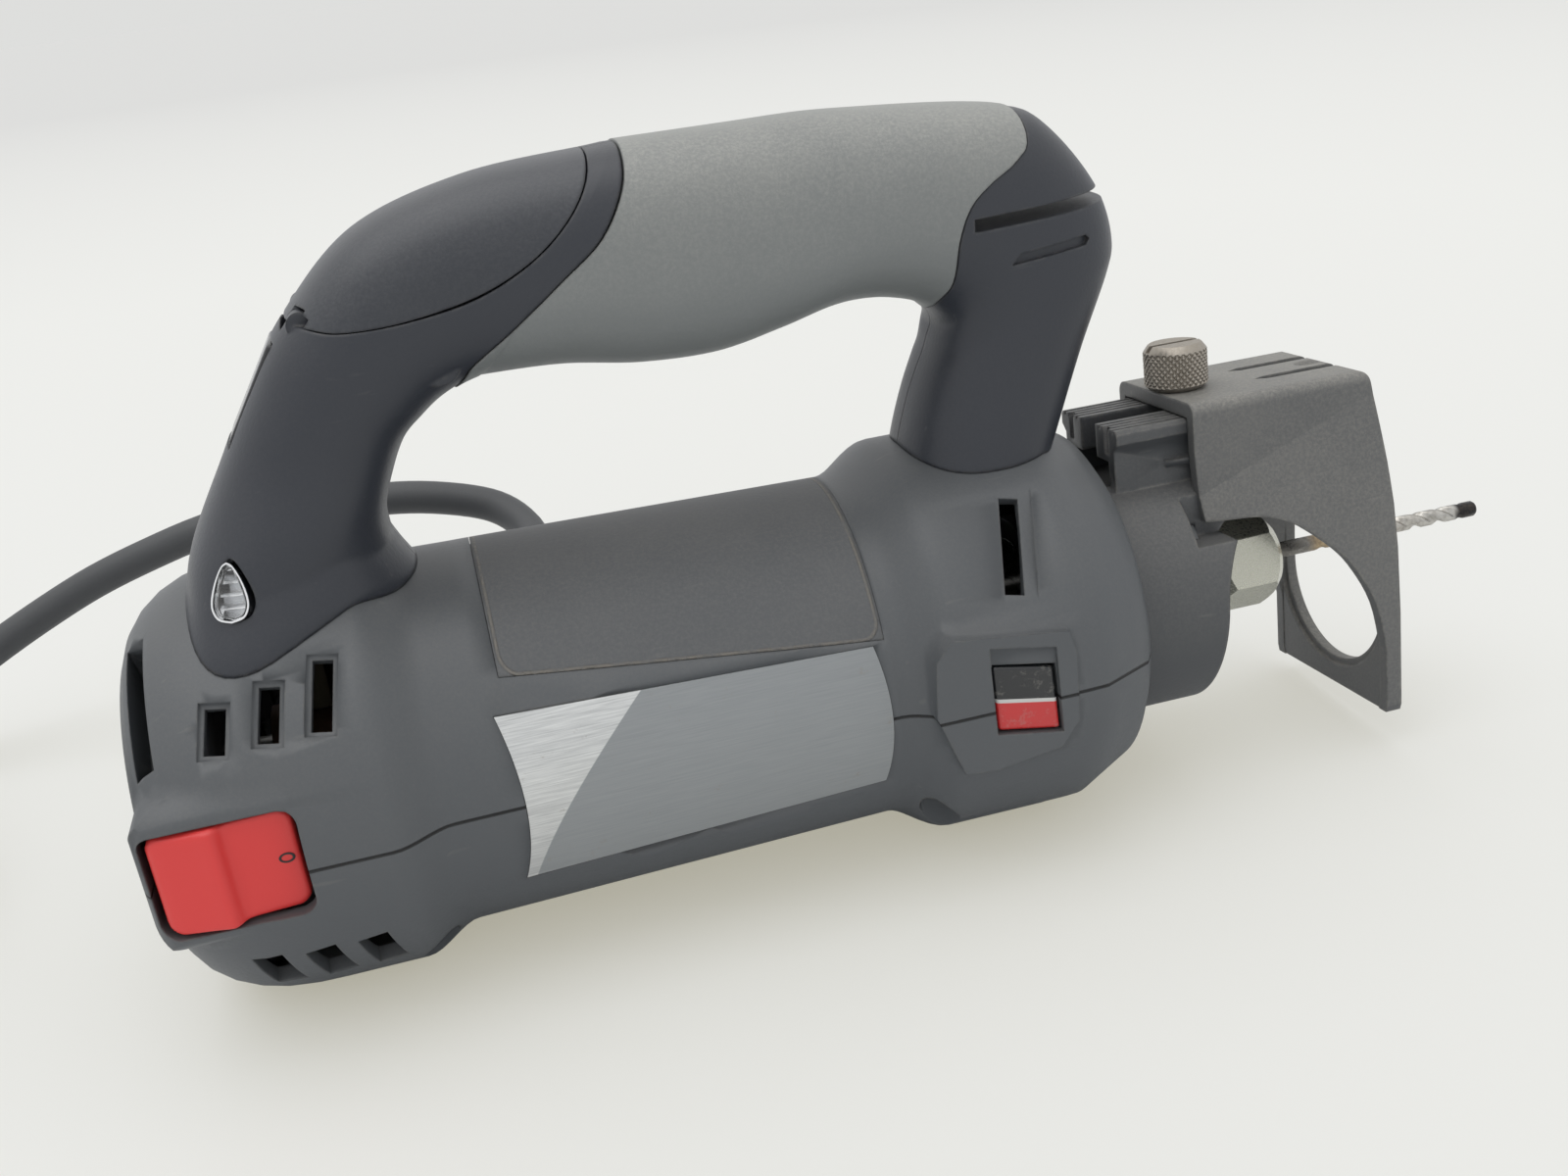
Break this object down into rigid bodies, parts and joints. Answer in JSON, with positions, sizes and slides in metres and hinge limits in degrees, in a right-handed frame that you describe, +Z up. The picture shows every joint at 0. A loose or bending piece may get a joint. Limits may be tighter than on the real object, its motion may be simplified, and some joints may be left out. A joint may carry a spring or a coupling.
{
  "type": "spiral cut-out tool",
  "caption": "Hand held spiral cut-out tool for drywall: round motor housing, closed top handle, rocker switch, collet with spiral bit and a sliding depth guide.",
  "frame": {"origin": "middle of the rest face under the rear bell of the housing", "axes": "+X along the spindle to the bit, +Z up through the handle, +Y to the far side, where the cord leaves"},
  "size_m": [0.5405, 0.1583, 0.1345],
  "materials": {
    "black_plastic": "fine spark texture, satin",
    "soft_black": "matt soft touch",
    "grey_soft": "matt soft touch, a little soiled",
    "label_foil": "brushed foil in two tones",
    "red_plastic": "smooth moulded",
    "gloss_black": "polished",
    "steel": "turned and ground",
    "lamination": "stacked sheet",
    "copper": "varnished wire and copper bars",
    "holder_brass": "pressed sheet",
    "carbon": "pressed carbon",
    "zinc": "zinc plated",
    "bit_steel": "ground tool steel",
    "clear": "clear moulded prism",
    "bright": "bright plated",
    "cord_rubber": "matt jacket"
  },
  "bodies": {
    "body": {"upper_housing": "black_plastic", "lower_housing": "black_plastic", "housing_screws": "steel", "grip_panel": "soft_black", "label_plate": "label_foil", "switch_body": "gloss_black", "lock_spring": "steel", "rear_bearing": "steel", "front_bearing": "steel", "field_core": "lamination", "field_coils": "copper", "brush_holders": "holder_brass", "carbon_brushes": "carbon", "guide_collar": "black_plastic", "handle_near_shell": "black_plastic", "handle_far_shell": "black_plastic", "handle_grip": "grey_soft", "handle_screws": "steel", "cover_hinge_pin": "steel", "paddle_pin": "steel", "indicator_lens": "clear", "lens_reflector": "bright", "strain_relief": "cord_rubber", "cord_clamp": "black_plastic", "power_cord": "cord_rubber", "cord_coil": "cord_rubber", "cord_tail": "cord_rubber", "power_plug": "cord_rubber", "plug_blades": "holder_brass"},
    "rotor": {"spindle": "steel", "rotor_core": "lamination", "rotor_windings": "copper", "commutator": "copper", "cooling_fan": "black_plastic", "collet": "steel", "spiral_bit": "bit_steel"},
    "nut": {"collet_nut": "zinc"},
    "rocker": {"rocker_switch": "red_plastic"},
    "lock": {"lock_button": "gloss_black"},
    "slider": {"guide_foot": "black_plastic", "guide_clamp_nut": "steel"},
    "thumbscrew": {"guide_thumbscrew": "zinc"},
    "cover": {"storage_cover": "black_plastic"},
    "paddle": {"release_paddle": "gloss_black"}
  },
  "joints": [
    {"name": "spindle_spin", "type": "hinge", "parent": "body", "child": "rotor", "pos_m": [0.068, 0, 0.0365], "axis": [1, 0, 0], "continuous": true},
    {"name": "collet_nut_turn", "type": "hinge", "parent": "rotor", "child": "nut", "pos_m": [0.176, 0, 0.0365], "axis": [1, 0, 0], "continuous": true},
    {"name": "rocker_tilt", "type": "hinge", "parent": "body", "child": "rocker", "pos_m": [-0.0176, -0.0294, 0.0381], "axis": [0, 0, -1], "range_deg": [0, 12]},
    {"name": "lock_button_press", "type": "slide", "parent": "body", "child": "lock", "axis": [0, 1, 0], "range_m": [0, 0.003], "stiffness_N_per_m": 400, "deforming": ["lock_spring"]},
    {"name": "guide_slide", "type": "slide", "parent": "body", "child": "slider", "axis": [1, 0, 0], "range_m": [-0.003, 0.01]},
    {"name": "thumbscrew_turn", "type": "hinge", "parent": "slider", "child": "thumbscrew", "pos_m": [0.1653, 0.00349, 0.07635], "axis": [0, 0.0872, 0.9962], "range_deg": [0, 360]},
    {"name": "cover_hinge", "type": "hinge", "parent": "body", "child": "cover", "pos_m": [0.0098, 0, 0.1149], "axis": [0, -1, 0], "range_deg": [0, 75]},
    {"name": "paddle_press", "type": "hinge", "parent": "body", "child": "paddle", "pos_m": [0.00463, 0, 0.1096], "axis": [0, -1, 0], "range_deg": [0, 6], "stiffness_Nm_per_rad": 0.5}
  ]
}
